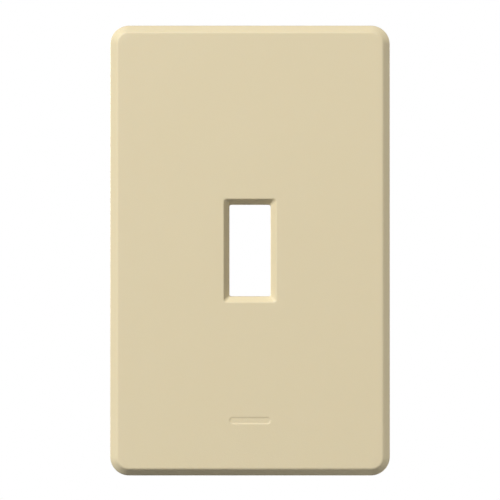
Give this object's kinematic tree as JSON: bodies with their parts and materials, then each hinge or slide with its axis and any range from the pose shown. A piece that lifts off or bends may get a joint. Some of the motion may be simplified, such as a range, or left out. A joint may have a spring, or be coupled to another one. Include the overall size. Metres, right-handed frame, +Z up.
{
  "type": "screwless wall plate for a toggle switch",
  "caption": "Ivory clip-on wall plate with bevelled edges and a bevelled toggle opening, over a screwed-on mounting adapter with springy latches.",
  "frame": {"origin": "centre of the toggle opening, on the surface of the wall: the plane of the cover's rear rim", "axes": "+X to the right as seen from the room, +Y into the wall, +Z up"},
  "size_m": [0.074, 0.0158, 0.119],
  "materials": {
    "ivory_cover": "ivory, satin moulded plastic",
    "ivory_adapter": "ivory, plain moulded plastic with a duller surface",
    "zinc_screw": "bright zinc plate on steel"
  },
  "bodies": {
    "adapter": {"mounting_adapter": "ivory_adapter"},
    "cover": {"front_cover": "ivory_cover"},
    "upper_left_latch": {"upper_left_latch": "ivory_adapter"},
    "upper_right_latch": {"upper_right_latch": "ivory_adapter"},
    "lower_left_latch": {"lower_left_latch": "ivory_adapter"},
    "lower_right_latch": {"lower_right_latch": "ivory_adapter"},
    "upper_screw": {"upper_screw": "zinc_screw"},
    "lower_screw": {"lower_screw": "zinc_screw"}
  },
  "joints": [
    {"name": "cover_pull_off", "type": "slide", "parent": "adapter", "child": "cover", "axis": [0, -1, 0], "range_m": [0, 0.024]},
    {"name": "upper_left_latch_flex", "type": "hinge", "parent": "adapter", "child": "upper_left_latch", "pos_m": [-0.03345, -0.0044, 0.024], "axis": [0, 1, 0], "range_deg": [0, 4], "stiffness_Nm_per_rad": 0.3},
    {"name": "upper_right_latch_flex", "type": "hinge", "parent": "adapter", "child": "upper_right_latch", "pos_m": [0.03345, -0.0044, 0.024], "axis": [0, -1, 0], "range_deg": [0, 4], "stiffness_Nm_per_rad": 0.3},
    {"name": "lower_left_latch_flex", "type": "hinge", "parent": "adapter", "child": "lower_left_latch", "pos_m": [-0.03345, -0.0044, -0.024], "axis": [0, -1, 0], "range_deg": [0, 4], "stiffness_Nm_per_rad": 0.3},
    {"name": "lower_right_latch_flex", "type": "hinge", "parent": "adapter", "child": "lower_right_latch", "pos_m": [0.03345, -0.0044, -0.024], "axis": [0, 1, 0], "range_deg": [0, 4], "stiffness_Nm_per_rad": 0.3},
    {"name": "upper_screw_turn", "type": "hinge", "parent": "adapter", "child": "upper_screw", "pos_m": [0, -0.0043, 0.03015], "axis": [0, -1, 0], "continuous": true},
    {"name": "lower_screw_turn", "type": "hinge", "parent": "adapter", "child": "lower_screw", "pos_m": [0, -0.0043, -0.03015], "axis": [0, -1, 0], "continuous": true}
  ]
}
